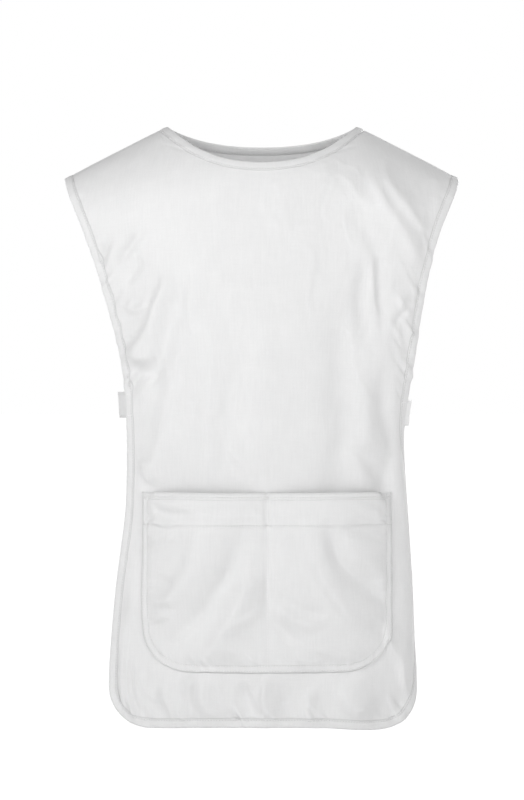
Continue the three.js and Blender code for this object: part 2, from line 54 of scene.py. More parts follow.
FRONT = Vector((0, -1, 0))
BACK = Vector((0, 1, 0))

# Cloth and thread, in metres
CLOTH = 0.9 * MM
DOUBLE_CLOTH = 1.5 * MM
HEM_RISE = 0.5 * MM
POCKET_GAP = 0.3 * MM
WEAVE_PITCH = 0.55 * MM
BINDING_WIDTH = 10 * MM
BINDING_STEP = 3 * MM
THREAD = 0.5 * MM
STITCH_LENGTH = 2.7 * MM
STITCH_PITCH = 3.4 * MM
BOX_PITCH = 2.7 * MM
TACK_PITCH = 2.6 * MM
STITCH_LIFT = 0.15 * MM
TACK_LIFT = 0.3 * MM
SEAM_HALF_WIDTH = 0.9 * MM
ROW_HALF_WIDTH = 0.6 * MM
POCKET_TOP_ROW = 6 * MM
POCKET_HEM_ROW = 40 * MM
POCKET_EDGE_ROWS = (1.8 * MM, 8.5 * MM)
TAB_EDGE_ROW = 3 * MM
STRAP_BOX_INSETS = (1.4 * MM, 6.8 * MM)

# A sheet is subdivided this many times, and thinned where that makes more faces than this
SHEET_LEVELS = 3
MOST_FACES = 47500

# From a spot in the noise to the three spots that say how it is pushed
NOISE_SHIFTS = (0.0, 0.0, 0.0), (31.4, 7.2, 12.8), (5.9, 44.1, 21.7)

# The inner side of an edge: a point this far in from it lies this close to the cloth
PROBE_IN = 5 * MM
PROBE_OFF = 2 * MM

# A press stud's cap, in millimetres: its size, and how far in and up each of its rings goes
STUD_RADIUS = 6.4
STUD_HEIGHT = 1.7
STUD_RINGS = (1.1, -0.25), (0.5, 0.0), (0.9, 0.35), (1.2, 0.25), (1.1, 0.1)

# Colours: the lightest and the darkest of a cloth, and the sewing's shadow in it
CLOTH_TONES = (0.82, 0.82, 0.82, 1), (0.71, 0.71, 0.712, 1)
TAPE_TONES = (0.80, 0.80, 0.80, 1), (0.70, 0.70, 0.702, 1)
SEAM_SHADE_TONE = (0.40, 0.40, 0.40, 1)
CLOTH_ROUGHNESS = 0.45

# Camera: level with the middle of the apron, straight in front of it
CAMERA_DISTANCE = 3.6
CAMERA_HEIGHT = -0.34
PICTURE_HEIGHT = 1.0
SENSOR = 36
FLOOR_HEIGHT = -1.38

# Lamps: name, place, width in metres and power in watts
LAMPS = (
    ("key_light", (-2.3, -2.6, 1.15), 1.0, 49),
    ("fill_light", (1.9, -2.8, 0.9), 1.3, 30),
    ("back_light", (1.8, 3.0, 0.6), 1.3, 48),
)

# Strength of the light from all round: at the horizon, and from a height share of 0.9 upwards
AMBIENT = {"From Min": 0.0, "From Max": 0.9, "To Min": 0.38, "To Max": 0.37}


# Folds

# A fold is a crest (high over 0) or a hollow between two points of the front view, in
# millimetres: x to the right and z up from the shoulders. bow bends it sideways, and skew makes
# the flank on its right steeper.
Fold = namedtuple("Fold", "x z to_x to_z wide high bow skew")

FRONT_FOLDS = [
    Fold(-118, -196, -152, -285, 13, 9.0, -6, 0.5),
    Fold(-98, -205, -118, -300, 15, -5.5, 4, 0.0),
    Fold(-170, -172, -146, -140, 6, 4.4, 3, 0.4),
    Fold(-164, -196, -144, -168, 5, -3.4, 2, 0.3),
    Fold(-167, -232, -140, -222, 5, 3.6, 2, 0.4),
    Fold(-164, -279, -128, -292, 8, 6.0, 3, 0.4),
    Fold(-158, -302, -122, -309, 9, -5.0, 2, 0.0),
    Fold(-82, -182, -136, -432, 19, 7.5, -12, 0.3),
    Fold(-33, -285, -42, -440, 18, -4.5, 4, 0.0),
    Fold(-58, -300, -66, -445, 15, 3.5, 3, 0.0),
    Fold(8, -250, -4, -440, 22, 4.0, 5, 0.0),
    Fold(139, -76, 192, -172, 10, 6.0, 5, 0.5),
    Fold(158, -70, 198, -130, 9, 4.2, 4, 0.4),
    Fold(118, -96, 160, -190, 13, -3.6, 6, 0.0),
    Fold(110, -84, 150, -110, 14, 2.6, 5, 0.0),
    Fold(124, -180, 128, -262, 11, -4.6, 3, 0.0),
    Fold(143, -170, 141, -250, 9, -3.6, -3, 0.0),
    Fold(134, -176, 136, -258, 6, 2.4, 0, 0.0),
    Fold(168, -212, 182, -236, 5, 4.0, 2, 0.5),
    Fold(164, -246, 178, -222, 5, -3.2, 2, 0.0),
    Fold(96, -270, 90, -440, 20, -3.8, -5, 0.0),
    Fold(122, -300, 128, -445, 17, 5.0, 4, 0.0),
    Fold(150, -330, 156, -470, 11, -3.6, 2, 0.0),
    Fold(-141, -414, -134, -438, 5, 3.4, 1, 0.5),
    Fold(-150, -420, -130, -446, 11, -3.6, 0, 0.0),
    Fold(118, -400, 150, -448, 13, -4.4, -4, 0.0),
    Fold(-66, -680, -60, -728, 13, 8.5, 2, 0.3),
    Fold(-88, -685, -80, -735, 7, -6.5, 2, 0.0),
    Fold(-118, -690, -104, -730, 9, 4.7, 2, 0.0),
    Fold(-20, -690, -16, -735, 8, -6.0, -2, 0.0),
    Fold(5, -676, 3, -726, 6, 6.0, 1, 0.4),
    Fold(30, -690, 34, -735, 10, -4.7, 2, 0.0),
    Fold(66, -690, 58, -732, 9, 4.2, 2, 0.0),
    Fold(102, -684, 122, -726, 13, 7.8, 3, 0.3),
    Fold(152, -614, 176, -692, 7, 5.0, 2, 0.6),
    Fold(-160, -560, -170, -690, 12, 4.0, 2, 0.0),
]
BACK_FOLDS = [
    Fold(-70, -120, -120, -420, 22, 7.0, -14, 0.2),
    Fold(-30, -170, -52, -520, 20, -5.5, 8, 0.0),
    Fold(20, -200, 4, -640, 26, 4.6, 6, 0.0),
    Fold(78, -140, 112, -470, 20, 6.8, 12, -0.2),
    Fold(52, -300, 66, -700, 18, -4.8, 5, 0.0),
    Fold(-96, -430, -84, -735, 20, 6.4, 4, 0.0),
    Fold(-30, -540, -22, -735, 14, -4.2, 4, 0.0),
    Fold(120, -430, 104, -735, 18, 6.0, -5, 0.0),
    Fold(-160, -300, -112, -340, 9, 5.0, 3, 0.3),
    Fold(160, -310, 114, -352, 9, 4.6, -3, 0.3),
    Fold(-158, -345, -100, -352, 8, -4.0, 2, 0.0),
    Fold(158, -355, 104, -366, 8, -3.6, -2, 0.0),
    Fold(-150, -372, -104, -410, 9, 4.0, 4, 0.0),
    Fold(150, -380, 104, -416, 9, 3.8, -4, 0.0),
    Fold(-186, -140, -120, -120, 14, 3.8, 5, 0.0),
    Fold(186, -150, 122, -128, 14, 3.6, -5, 0.0),
    Fold(-60, -60, -40, -130, 16, 2.8, 4, 0.0),
    Fold(60, -60, 44, -140, 16, 2.6, -4, 0.0),
]
POCKET_FOLDS = [
    Fold(-26, -512, -100, -632, 18, -10.5, -8, 0.0),
    Fold(-16, -556, -66, -652, 13, 8.1, -5, 0.4),
    Fold(-70, -500, -118, -590, 14, 6.0, -6, 0.0),
    Fold(84, -498, 146, -582, 13, -7.5, 9, 0.0),
    Fold(54, -505, 118, -612, 14, 6.0, 8, 0.4),
    Fold(20, -574, 66, -600, 8, -4.0, 4, 0.0),
    Fold(24, -590, 60, -616, 8, 3.2, 3, 0.4),
    Fold(14, -606, 44, -632, 7, -3.2, 2, 0.0),
    Fold(-134, -470, -92, -484, 7, -3.0, 2, 0.0),
    Fold(-128, -460, -92, -470, 7, 2.4, 2, 0.0),
    Fold(-134, -490, -104, -496, 4, 2.4, 1, 0.4),
    Fold(-138, -520, -108, -510, 6, 2.9, 1, 0.4),
    Fold(-138, -578, -108, -586, 6, 3.2, -1, 0.4),
    Fold(-138, -560, -112, -556, 6, -2.4, -1, 0.0),
    Fold(-138, -604, -116, -600, 6, 2.4, 1, 0.4),
    Fold(104, -494, 150, -502, 6, -3.0, 1, 0.0),
    Fold(112, -468, 148, -478, 7, 2.4, 1, 0.0),
    Fold(-8, -560, -44, -572, 6, 2.4, -2, 0.3),
    Fold(-6, -600, -34, -612, 6, 2.1, -2, 0.3),
    Fold(-40, -640, 0, -660, 10, 3.4, 2, 0.0),
    Fold(60, -635, 120, -650, 11, 3.0, -3, 0.0),
]

# A stretch of puckers along a seam: between two heights in millimetres on one side of the
# middle (-1 left, 1 right, 0 both), how far in they reach, their pitch and their height, and how
# much they climb on their way in. hem is for creases that are counted along the hem. They begin
# and end over PUCKER_END to either side of the two heights.
Puckers = namedtuple("Puckers", "side low high reach pitch height lean hem", defaults=(1.1, False))
PUCKER_END = 15

FRONT_PUCKERS = [
    Puckers(-1, -325, -135, 26, 11, 7.6),
    Puckers(1, -275, -140, 24, 10, 5.1),
    Puckers(1, -345, -265, 18, 9, 3.8),
    Puckers(0, -700, 0, 14, 8, 1.5, 0.5),
    Puckers(0, -760, -655, 28, 10, 6.0, 0.5, True),
]
BACK_PUCKERS = [
    Puckers(0, -335, -130, 26, 11, 4.4),
    Puckers(0, -700, 0, 14, 8, 1.1, 0.5),
    Puckers(0, -760, -655, 30, 12, 3.4, 0.5, True),
]
POCKET_PUCKERS = [
    Puckers(0, -640, -470, 24, 8, 4.4, 0.3),
    Puckers(0, -700, -640, 18, 8, 3.2, 0.5, True),
]
SEAM_GATHERS = [
    Puckers(0, -640, -440, 12, 5, 2.4, 0.3),
    Puckers(0, -700, -640, 12, 5, 2.6, 0.3, True),
]


def smooth_step(low, high, value):
    share = np.clip((value - low) / (high - low), 0, 1)
    return share * share * (3 - 2 * share)


def fold_heights(points, folds):
    """Heights of the folds at points, in metres."""
    x = points[:, 0] / MM
    z = points[:, 2] / MM
    total = np.zeros(len(points))
    for fold in folds:
        run = np.array([fold.to_x - fold.x, fold.to_z - fold.z], dtype=float)
        long = np.hypot(*run)
        along_x, along_z = run / long
        share = ((x - fold.x) * along_x + (z - fold.z) * along_z) / long
        bow = 4 * fold.bow * share * (1 - share)
        across = (x - fold.x) * along_z - (z - fold.z) * along_x - bow
        off = across / fold.wide * (1 + fold.skew * np.tanh(across / fold.wide))
        taper = smooth_step(-0.30, 0.25, share) * smooth_step(1.30, 0.75, share)
        total += fold.high * taper * np.exp(-off * off)
    return total * MM


def pucker_heights(points, from_edge, zones, seed):
    """Heights of the small creases that run in from a seam, in metres."""
    x = points[:, 0] / MM
    z = points[:, 2] / MM
    inward = from_edge / MM
    total = np.zeros(len(points))
    for number, zone in enumerate(zones):
        here = smooth_step(zone.low - PUCKER_END, zone.low + PUCKER_END, z)
        here = here * smooth_step(zone.high + PUCKER_END, zone.high - PUCKER_END, z)
        if zone.side:
            here = here * (np.sign(x) == zone.side)
        run = x + zone.lean * inward if zone.hem else z - zone.lean * inward
        for i in np.nonzero((here > 0.01) & (inward < 3.5 * zone.reach))[0]:
            across = run[i] / zone.pitch
            spot = Vector((across, 7.3 * number + seed, inward[i] / (3 * zone.pitch)))
            small = 0.7 * noise.noise(spot * 2.1) * math.exp(-inward[i] / 14)
            ripple = 1.8 * noise.noise(spot) + small
            strong = 0.55 + 1.1 * noise.noise(Vector((across / 3.1, seed, number + 0.5)))
            deep = zone.reach * (0.8 + 0.9 * noise.noise(Vector((across / 1.7, seed + 2, number))))
            fade = math.exp(-((inward[i] / max(deep, 4)) ** 1.6))
            bound = 0.3 + 0.7 * min(inward[i] / 11, 1) ** 2
            total[i] += zone.height * here[i] * bound * max(strong, 0.1) * ripple * fade
    return total * MM


def noise_push(spot):
    """A push sideways, up and along, the same for the same spot in every run."""
    return Vector(noise.noise(spot + Vector(shift)) for shift in NOISE_SHIFTS)


def cloth_noise(points, seed):
    """Low unevenness of hung cloth: long and soft downwards, with a finer grain, in metres."""
    heights = np.empty(len(points))
    for i, (x, y, z) in enumerate(points):
        broad = noise.noise(Vector((x / 0.075, z / 0.24, seed)))
        middle = noise.noise(Vector((x / 0.028, z / 0.060, seed + 5)))
        fine = noise.noise(Vector((x / 0.011, z / 0.017, seed + 9)))
        low = min(max((-0.58 - z) / 0.12, 0), 1)
        heights[i] = 1.8 * broad + (0.8 + 0.9 * low) * middle + 0.16 * fine
    return heights * MM


def crease_heights(points, seed):
    """Soft creases between flatter facets, as in cloth that was folded and worn, in metres."""
    heights = np.empty(len(points))
    for i, (x, y, z) in enumerate(points):
        spot = Vector((x / 0.060, z / 0.100, seed))
        bend = noise_push(spot * 1.3) * 0.45
        ridge = 1 - min(abs(noise.noise(spot + bend)) * 3.2, 1)
        small = 1 - min(abs(noise.noise((spot + bend) * 2.3)) * 3.0, 1)
        where = 0.5 + 1.2 * noise.noise(spot * 0.6 + Vector((4, 9, 2)))
        heights[i] = (1.4 * ridge * ridge + 0.6 * small * small) * min(max(where, 0), 1)
    return heights * MM


def warped(points, reach, scale, seed):
    """Points moved about a little, so that no fold runs straight."""
    moved = points.copy()
    for i, (x, y, z) in enumerate(points):
        push = noise_push(Vector((x / scale, z / scale, seed)))
        moved[i, 0] += push.x * reach
        moved[i, 2] += push.y * reach
    return moved


# Sheets of cloth

def coordinates(mesh):
    points = np.empty(3 * len(mesh.vertices))
    mesh.vertices.foreach_get("co", points)
    return points.reshape(-1, 3)


def vertex_normals(mesh):
    normals = np.empty(3 * len(mesh.vertices))
    mesh.vertex_normals.foreach_get("vector", normals)
    return normals.reshape(-1, 3)


def set_coordinates(mesh, points):
    mesh.vertices.foreach_set("co", points.ravel())
    mesh.update()


def link_mesh(name, mesh):
    piece = bpy.data.objects.new(name, mesh)
    bpy.context.scene.collection.objects.link(piece)
    return piece


def pick(piece):
    bpy.ops.object.select_all(action="DESELECT")
    piece.select_set(True)
    bpy.context.view_layer.objects.active = piece


def apply_modifier(piece, kind, **settings):
    modifier = piece.modifiers.new(kind.lower(), kind)
    for key, value in settings.items():
        setattr(modifier, key, value)
    pick(piece)
    bpy.ops.object.modifier_apply(modifier=modifier.name)


def outer_side(node, outwards, name):
    """The side of a node's wall that faces outwards, as a sheet of its own."""
    sheet = bmesh.new()
    sheet.from_mesh(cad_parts[node].data)
    bmesh.ops.remove_doubles(sheet, verts=sheet.verts, dist=0.01 * MM)
    first = max(sheet.faces, key=lambda face: face.calc_center_median().dot(outwards))
    side = {first}
    waiting = [first]
    while waiting:
        for edge in waiting.pop().edges:
            if edge.calc_face_angle(math.pi) < math.radians(60):
                fresh = [face for face in edge.link_faces if face not in side]
                side.update(fresh)
                waiting.extend(fresh)
    rest = [face for face in sheet.faces if face not in side]
    bmesh.ops.delete(sheet, geom=rest, context="FACES")
    for hole in small_holes(sheet):
        bmesh.ops.holes_fill(sheet, edges=hole, sides=0)
    bmesh.ops.join_triangles(
        sheet,
        faces=sheet.faces[:],
        angle_face_threshold=math.radians(50),
        angle_shape_threshold=math.radians(70),
    )
    mesh = bpy.data.meshes.new(name)
    sheet.to_mesh(mesh)
    sheet.free()
    piece = link_mesh(name, mesh)
    lay_out(piece)
    return piece


def small_holes(sheet):
    """The open edges of holes under 30 mm round."""
    loops = []
    seen = set()
    for edge in sheet.edges:
        if not edge.is_boundary or edge in seen:
            continue
        loop = [edge]
        seen.add(edge)
        for known in loop:
            for corner in known.verts:
                fresh = [e for e in corner.link_edges if e.is_boundary and e not in seen]
                seen.update(fresh)
                loop.extend(fresh)
        if sum(e.calc_length() for e in loop) < 30 * MM:
            loops.append(loop)
    return loops


def lay_out(piece):
    """Unwraps a sheet at its real size, with its height running up the map."""
    pick(piece)
    bpy.ops.object.mode_set(mode="EDIT")
    bpy.ops.mesh.select_all(action="SELECT")
    bpy.ops.uv.unwrap(method="ANGLE_BASED", margin=0)
    bpy.ops.object.mode_set(mode="OBJECT")
    mesh = piece.data
    layer = mesh.uv_layers.active.data
    flat = np.empty(2 * len(layer))
    layer.foreach_get("uv", flat)
    flat = flat.reshape(-1, 2)
    corners = np.empty(len(mesh.loops), dtype=int)
    mesh.loops.foreach_get("vertex_index", corners)
    height = coordinates(mesh)[corners, 2]
    terms = np.c_[flat, np.ones(len(flat))]
    slope = np.linalg.lstsq(terms, height, rcond=None)[0][:2]
    up = slope / np.linalg.norm(slope)
    turned = np.c_[flat @ [up[1], -up[0]], flat @ up]
    flat_area = sum(abs(polygon_area(turned[list(face.loop_indices)])) for face in mesh.polygons)
    real_area = sum(face.area for face in mesh.polygons)
    layer.foreach_set("uv", (turned * math.sqrt(real_area / flat_area)).ravel())


def polygon_area(points):
    x, y = points[:, 0], points[:, 1]
    return 0.5 * (x @ np.roll(y, -1) - y @ np.roll(x, -1))


def edge_loop(mesh):
    """The indexes of a sheet's edge vertices, in order round the sheet."""
    sheet = bmesh.new()
    sheet.from_mesh(mesh)
    sheet.verts.ensure_lookup_table()
    first = next(vertex for vertex in sheet.verts if vertex.is_boundary)
    loop = [first.index]
    before, here = None, first
    while True:
        steps = [edge.other_vert(here) for edge in here.link_edges if edge.is_boundary]
        onward = next(vertex for vertex in steps if vertex != before)
        if onward == first:
            break
        loop.append(onward.index)
        before, here = here, onward
    sheet.free()
    return loop


def edge_distances(points, edge):
    """How far each point lies from the nearest point of an edge."""
    tree = KDTree(len(edge))
    for i, point in enumerate(edge):
        tree.insert(point, i)
    tree.balance()
    return np.array([tree.find(point)[2] for point in points])


def drape(piece, folds, puckers, seed, noise_share=1.0, hem=None):
    """Smooths a sheet and works its folds, puckers and unevenness into it.

    Above hem the cloth is double and stands a little proud.
    """
    apply_modifier(
        piece, "SUBSURF",
        levels=SHEET_LEVELS, render_levels=SHEET_LEVELS, boundary_smooth="PRESERVE_CORNERS",
    )
    mesh = piece.data
    points = coordinates(mesh)
    normals = vertex_normals(mesh)
    from_edge = edge_distances(points, points[edge_loop(mesh)])
    mesh.attributes.new("inset", "FLOAT", "POINT").data.foreach_set("value", from_edge)
    held = smooth_step(0, 0.030, from_edge)
    heights = fold_heights(warped(points, 9 * MM, 45 * MM, seed), folds) * (0.25 + 0.75 * held)
    uneven = cloth_noise(points, seed) + crease_heights(points, seed + 3)
    heights += uneven * noise_share * (0.2 + 0.8 * held)
    heights += pucker_heights(points, from_edge, puckers, seed)
    if hem is not None:
        heights += HEM_RISE * smooth_step(hem - 2.5 * MM, hem, points[:, 2])
    past_seam = smooth_step(0, 45 * MM, np.abs(points[:, 1]))
    set_coordinates(mesh, points + normals * (heights * past_seam)[:, None])
    if len(mesh.polygons) > MOST_FACES:
        apply_modifier(piece, "DECIMATE", ratio=MOST_FACES / len(mesh.polygons))


# Paths over the cloth

class Surface:
    """The outer side of a sheet, to lay bindings and stitches on."""

    def __init__(self, piece, open_edge=True):
        sheet = bmesh.new()
        sheet.from_mesh(piece.data)
        self.tree = BVHTree.FromBMesh(sheet)
        sheet.free()
        self.points = coordinates(piece.data)
        self.normals = vertex_normals(piece.data)
        self.loop = edge_loop(piece.data) if open_edge else []

    def near(self, point):
        place, normal, _, _ = self.tree.find_nearest(point)
        return place, normal

    def seen(self, x, z):
        """Where a straight look at the sheet from the front meets it."""
        place, normal, _, _ = self.tree.ray_cast(Vector((x, 0, z)) + FRONT, -FRONT)
        return place, normal

    def edge_run(self, start, end, through):
        """Points and normals of the edge from one corner to another, by way of a third point."""
        edge = self.points[self.loop]
        first, last, middle = (
            int(np.argmin(np.linalg.norm(edge - corner, axis=1)))
            for corner in (start, end, through)
        )
        count = len(edge)
        steps = (last - first) % count
        order = [(first + i) % count for i in range(steps + 1)]
        if middle not in order:
            order = [(first - i) % count for i in range((first - last) % count + 1)]
        chosen = np.array(self.loop)[order]
        return self.points[chosen], self.normals[chosen]


def unit(directions):
    return directions / np.linalg.norm(directions, axis=1)[:, None]


def path_lengths(points):
    """How far along a path each of its points lies."""
    return np.r_[0, np.cumsum(np.linalg.norm(np.diff(points, axis=0), axis=1))]


def spaced(points, normals, step):
    """A path's points and normals at even steps."""
    lengths = path_lengths(points)
    count = max(int(round(lengths[-1] / step)), 2)
    at = np.linspace(0, lengths[-1], count + 1)
    places, directions = (
        np.stack([np.interp(at, lengths, values[:, k]) for k in range(3)], axis=1)
        for values in (points, normals)
    )
    return [places, unit(directions)]


def evened(values, reach, closed):
    """Running mean of directions along a path."""
    total = values.copy()
    for shift in range(1, reach + 1):
        for sign in (-1, 1):
            moved = np.roll(values, sign * shift, axis=0)
            if not closed:
                edge = slice(0, shift) if sign > 0 else slice(-shift, None)
                moved[edge] = values[edge]
            total += moved
    return unit(total)


def tangents(points, closed):
    if closed:
        along = np.roll(points, -1, axis=0) - np.roll(points, 1, axis=0)
    else:
        along = np.gradient(points, axis=0)
    return unit(along)


def inward_directions(points, normals, surface, probe, closed):
    """Which way the cloth lies from each point of its edge, as tried at one of them."""
    inwards = unit(np.cross(normals, tangents(points, closed)))
    here = Vector(points[probe] + inwards[probe] * PROBE_IN)
    if (surface.near(here)[0] - here).length > PROBE_OFF:
        inwards = -inwards
    return evened(inwards, 3, closed)


def sheet_corners(surface):
    """Tips and neck ends of a panel's shoulder seams, and the middles of its hem and neck."""
    edge = surface.points[surface.loop]
    x, y, z = edge.T
    left = np.where(x < 0, 0, -1)
    right = np.where(x > 0, 0, -1)
    tip = np.abs(x) + 0.8 * z - np.abs(y)
    neck = z - 0.5 * np.abs(y)
    return {
        "left_tip": edge[np.argmax(tip + left)],
        "left_neck": edge[np.argmax(neck + left)],
        "right_tip": edge[np.argmax(tip + right)],
        "right_neck": edge[np.argmax(neck + right)],
        "hem": edge[np.argmin(z + np.abs(x))],
        "collar": edge[np.argmin(np.abs(x) - 0.5 * z)],
    }


def panel_runs(surface):
    """The outer edge of a panel from the left tip to the right, and its neck edge."""
    at = sheet_corners(surface)
    outside = surface.edge_run(at["left_tip"], at["right_tip"], at["hem"])
    neck = surface.edge_run(at["left_neck"], at["right_neck"], at["collar"])
    return [spaced(*run, BINDING_STEP) for run in (outside, neck)]


# Outline of a folded binding, in millimetres: in from the edge over the cloth, and out from the
# cloth's outer side.
BINDING_OUTLINE = [
    (10.0, 0.05), (9.8, 0.72), (8.7, 0.50), (7.5, 0.92), (4.0, 1.08), (1.0, 0.98), (-0.6, 0.50),
    (-1.1, -0.45), (-0.6, -1.40), (1.0, -1.85), (4.0, -1.95), (7.5, -1.80), (8.7, -1.40),
    (9.8, -1.62), (10.0, -0.95),
]
BINDING_STITCH_IN = 8.7 * MM
BINDING_STITCH_OUT = (0.55 * MM, -1.45 * MM)


def binding_outline():
    """A binding's outline in metres, and how far round it each of its points lies."""
    outline = np.array(BINDING_OUTLINE) * MM
    return outline, path_lengths(outline)


def binding_seams():
    """How far round a binding's outline its two rows of sewing lie."""
    around = binding_outline()[1]
    return [float(around[i]) for i in (2, len(around) - 3)]


def make_binding(name, runs, surfaces):
    """A folded strip round a closed edge, lying close on the cloth, and its rows of sewing."""
    points = np.concatenate([run[0] for run in runs])
    normals = evened(np.concatenate([run[1] for run in runs]), 2, True)
    owner = np.concatenate([[which] * len(run[0]) for which, run in enumerate(runs)])
    probe = len(points) // 5
    inwards = inward_directions(points, normals, surfaces[owner[probe]], probe, True)
    outline, around = binding_outline()
    vertices = []
    rows = [[], []]
    for i, (point, normal, inward) in enumerate(zip(points, normals, inwards)):
        surface = surfaces[owner[i]]
        for over, out in outline:
            place = point + inward * over
            if over > 0:
                place = np.array(surface.near(Vector(place))[0])
            vertices.append(place + normal * out)
        stitch = np.array(surface.near(Vector(point + inward * BINDING_STITCH_IN))[0])
        for row, out in zip(rows, BINDING_STITCH_OUT):
            row.append(stitch + normal * out)
    size, count = len(outline), len(points)
    lengths = path_lengths(points)
    lengths = np.r_[lengths, lengths[-1] + BINDING_STEP]
    faces, flat = [], []
    for i in range(count):
        following = (i + 1) % count
        for j in range(size):
            k = (j + 1) % size
            faces.append((i * size + j, i * size + k, following * size + k, following * size + j))
            end = around[j + 1] if k else around[j] + 0.5 * MM
            flat += [
                (lengths[i], around[j]), (lengths[i], end),
                (lengths[i + 1], end), (lengths[i + 1], around[j]),
            ]
    mesh = bpy.data.meshes.new(name)
    mesh.from_pydata(vertices, [], faces)
    mesh.uv_layers.new(name="tape").data.foreach_set("uv", np.array(flat).ravel())
    piece = link_mesh(name, mesh)
    turn_outwards(piece)
    mesh.shade_smooth()
    return piece, [(np.array(row), normals * sign) for row, sign in zip(rows, (1, -1))]


def turn_outwards(piece):
    sheet = bmesh.new()
    sheet.from_mesh(piece.data)
    bmesh.ops.recalc_face_normals(sheet, faces=sheet.faces)
    sheet.to_mesh(piece.data)
    sheet.free()


# Stitches

def stitch_model():
    """One stitch, modelled lying along X: its vertices and faces."""
    bpy.ops.mesh.primitive_uv_sphere_add(
        segments=6, ring_count=4, radius=0.5, rotation=(0, math.pi / 2, 0),
    )
    model = bpy.context.object
    bpy.ops.object.transform_apply(rotation=True)
    vertices = coordinates(model.data)
    ends = np.sign(vertices[:, 0]) * np.abs(vertices[:, 0] * 2) ** 0.6 / 2
    shape = np.c_[ends * STITCH_LENGTH, vertices[:, 1] * THREAD, vertices[:, 2] * THREAD * 0.8]
    faces = [list(face.vertices) for face in model.data.polygons]
    mesh = model.data
    bpy.data.objects.remove(model)
    bpy.data.meshes.remove(mesh)
    return shape, faces


STITCH_SHAPE, STITCH_FACES = stitch_model()


def make_stitches(name, rows, pitch=STITCH_PITCH, closed=False):
    """Rows of stitches joined in one piece. A row is its points and its normals."""
    vertices, faces = [], []
    for points, normals in rows:
        if closed:
            points = np.concatenate([points, points[:1]])
            normals = np.concatenate([normals, normals[:1]])
        points, normals = spaced(points, normals, pitch)
        for i in range(len(points) - 1):
            middle = (points[i] + points[i + 1]) / 2
            along = points[i + 1] - points[i]
            along /= np.linalg.norm(along)
            up = normals[i] - along * (normals[i] @ along)
            up /= np.linalg.norm(up)
            across = np.cross(up, along)
            base = len(vertices)
            vertices.extend(middle + STITCH_SHAPE @ np.array([along, across, up]))
            faces.extend([base + k for k in face] for face in STITCH_FACES)
    mesh = bpy.data.meshes.new(name)
    mesh.from_pydata(vertices, [], faces)
    piece = link_mesh(name, mesh)
    turn_outwards(piece)
    mesh.shade_smooth()
    return piece


def lifted(hits, lift):
    """Points a little over the places where a sheet was met, and the normals there."""
    points = np.array([place + normal * lift for place, normal in hits])
    return points, np.array([normal for _, normal in hits])


def laid_row(surface, flat_points, lift=STITCH_LIFT):
    """A row over a sheet through points of the front view."""
    hits = [surface.seen(x, z) for x, z in flat_points]
    return lifted([hit for hit in hits if hit[0] is not None], lift)


def offset_row(surface, run, inset):
    """A row that follows an edge at a distance over the cloth."""
    points, normals = run
    inwards = inward_directions(points, normals, surface, len(points) // 2, False)
    hits = [surface.near(Vector(p + d * inset)) for p, d in zip(points, inwards)]
    return lifted(hits, STITCH_LIFT)


# Materials

class Value:
    """A shader socket that takes part in Python arithmetic."""

    def __init__(self, tree, socket):
        self.tree = tree
        self.socket = socket

    def math(self, operation, *others):
        return self.tree.add("ShaderNodeMath", {"operation": operation}, {
            index: value for index, value in enumerate((self, *others))
        })

    def __add__(self, other):
        return self.math("ADD", other)

    def __mul__(self, other):
        return self.math("MULTIPLY", other)

    def __sub__(self, other):
        return self.math("SUBTRACT", other)

    def __rsub__(self, other):
        return self.tree.add("ShaderNodeMath", {"operation": "SUBTRACT"}, {0: other, 1: self})

    __radd__ = __add__
    __rmul__ = __mul__


class Finish:
    """A material and its node tree."""

    def __init__(self, name):
        self.material = bpy.data.materials.new(name)
        self.material.use_nodes = True
        self.nodes = self.material.node_tree.nodes
        self.links = self.material.node_tree.links
        self.shader = self.nodes["Principled BSDF"]

    def add(self, kind, settings=None, inputs=None, output=0):
        node = self.nodes.new(kind)
        for key, value in (settings or {}).items():
            setattr(node, key, value)
        for key, value in (inputs or {}).items():
            self.feed(node.inputs[key], value)
        return Value(self, node.outputs[output])

    def feed(self, socket, value):
        if isinstance(value, Value):
            self.links.new(value.socket, socket)
        else:
            socket.default_value = value

    def set(self, **values):
        for key, value in values.items():
            self.feed(self.shader.inputs[key.replace("_", " ")], value)

    def texture_place(self, name):
        if name == "Object":
            return self.add("ShaderNodeTexCoord", output="Object")
        return self.add("ShaderNodeUVMap", {"uv_map": name})

    def stretched(self, place, scale):
        return self.add("ShaderNodeMapping", {}, {"Vector": place, "Scale": scale})

    def noise(self, place, scale, detail):
        inputs = {"Vector": place, "Scale": scale, "Detail": detail}
        return self.add("ShaderNodeTexNoise", {}, inputs)

    def mix(self, factor, first, second):
        inputs = {0: factor, 6: first, 7: second}
        return self.add("ShaderNodeMix", {"data_type": "RGBA"}, inputs, output=2)

    def bump(self, height, distance, strength=1.0, normal=None):
        inputs = {"Height": height, "Distance": distance, "Strength": strength}
        if normal is not None:
            inputs["Normal"] = normal
        return self.add("ShaderNodeBump", {}, inputs)


def woven_height(finish, place):
    """Height of a plain weave: two sets of threads that pass over and under each other."""
    wave = 2 * math.pi / WEAVE_PITCH
    warp = (part_of(finish, place, 0) * wave).math("SINE")
    weft = (part_of(finish, place, 1) * wave).math("SINE")
    return warp * weft * 0.5 + 0.5


